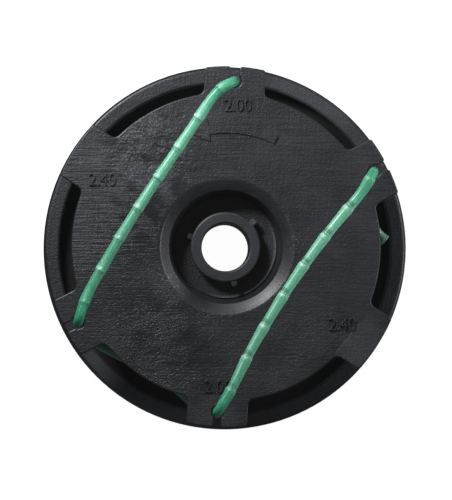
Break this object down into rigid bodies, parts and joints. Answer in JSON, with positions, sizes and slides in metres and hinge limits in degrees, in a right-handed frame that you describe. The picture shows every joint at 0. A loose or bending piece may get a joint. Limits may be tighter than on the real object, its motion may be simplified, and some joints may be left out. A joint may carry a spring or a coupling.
{
  "type": "trimmer line spool",
  "caption": "Round moulded double-channel spool with a tabbed upper flange, a sleeve bore and a spring pocket, wound with twisted cutting line parked across its face.",
  "frame": {"origin": "on the spool's axis at its lower face", "axes": "+Z along the axis towards the face that the line ends cross, +X to the right of the picture"},
  "size_m": [0.0826, 0.0826, 0.0319],
  "materials": {
    "spool_nylon": "satin black glass-filled nylon, as moulded",
    "cutting_line": "glossy translucent green nylon monofilament, twisted"
  },
  "bodies": {
    "root": {"spool_body": "spool_nylon", "upper_line_winding": "cutting_line", "lower_line_winding": "cutting_line", "upper_line_end": "cutting_line", "lower_line_end": "cutting_line"}
  },
  "joints": []
}
